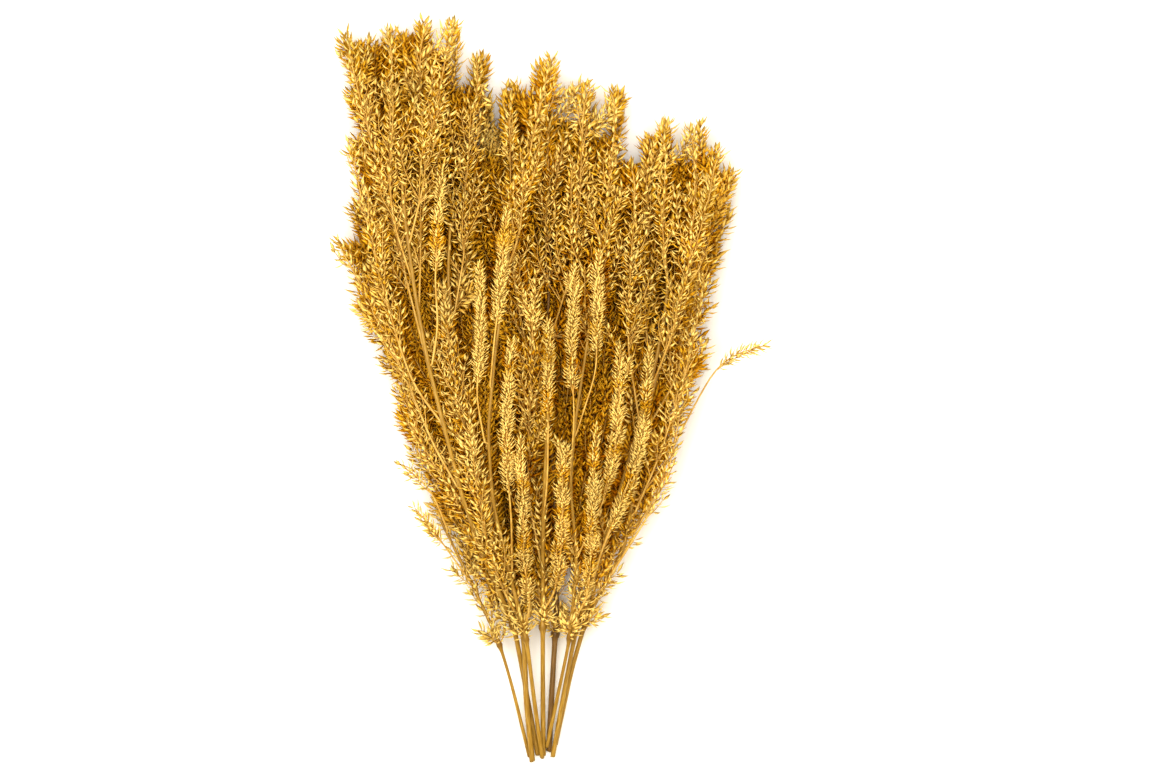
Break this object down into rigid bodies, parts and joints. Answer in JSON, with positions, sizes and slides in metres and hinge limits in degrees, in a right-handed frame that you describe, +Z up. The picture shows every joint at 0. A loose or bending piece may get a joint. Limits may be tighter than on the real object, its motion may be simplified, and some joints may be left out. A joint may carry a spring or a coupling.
{
  "type": "bunch of dried umbrella sedge",
  "caption": "Loose fan of cut, dried and golden-dyed sedge stalks with leafy upright sprays, laid down flat.",
  "frame": {"origin": "centre of the bounding box's base, on the surface that the bunch lies on", "axes": "+Y runs along the bunch from the cut ends to the tips, +Z is up from the surface"},
  "size_m": [0.3793, 0.6499, 0.1417],
  "materials": {
    "straw": "dry, satin, fine lengthwise grain",
    "brown_straw": "dry, matt, brown",
    "leaves": "dry dyed leaf, matt"
  },
  "bodies": {
    "root": {"stalk_a": "straw", "stalk_b": "straw", "stalk_c": "straw", "stalk_d": "straw", "stalk_e": "straw", "stalk_f": "brown_straw", "stalk_g": "straw", "stalk_h": "straw", "stalk_i": "straw", "branch_a1": "leaves", "branch_a2": "leaves", "branch_a3": "leaves", "branch_a4": "leaves", "branch_a5": "leaves", "branch_b1": "leaves", "branch_b2": "leaves", "branch_b3": "leaves", "branch_b4": "leaves", "branch_b5": "leaves", "branch_b6": "leaves", "branch_b7": "leaves", "branch_c1": "leaves", "branch_c2": "leaves", "branch_c3": "leaves", "branch_c4": "leaves", "branch_c5": "leaves", "branch_d1": "leaves", "branch_d2": "leaves", "branch_d3": "leaves", "branch_d4": "leaves", "branch_d5": "leaves", "branch_e1": "leaves", "branch_e2": "leaves", "branch_e3": "leaves", "branch_e4": "leaves", "branch_f1": "leaves", "branch_f2": "leaves", "branch_f3": "leaves", "branch_f4": "leaves", "branch_f5": "leaves", "branch_f6": "leaves", "branch_f7": "leaves", "branch_g1": "leaves", "branch_g2": "leaves", "branch_g3": "leaves", "branch_g4": "leaves", "branch_g5": "leaves", "branch_h1": "leaves", "branch_h2": "leaves", "branch_h3": "leaves", "branch_h4": "leaves", "branch_h5": "leaves", "branch_h6": "leaves", "branch_i1": "leaves", "branch_i2": "leaves", "branch_i3": "leaves", "branch_i4": "leaves", "branch_i5": "leaves", "branch_i6": "leaves", "branch_i7": "leaves"}
  },
  "joints": []
}
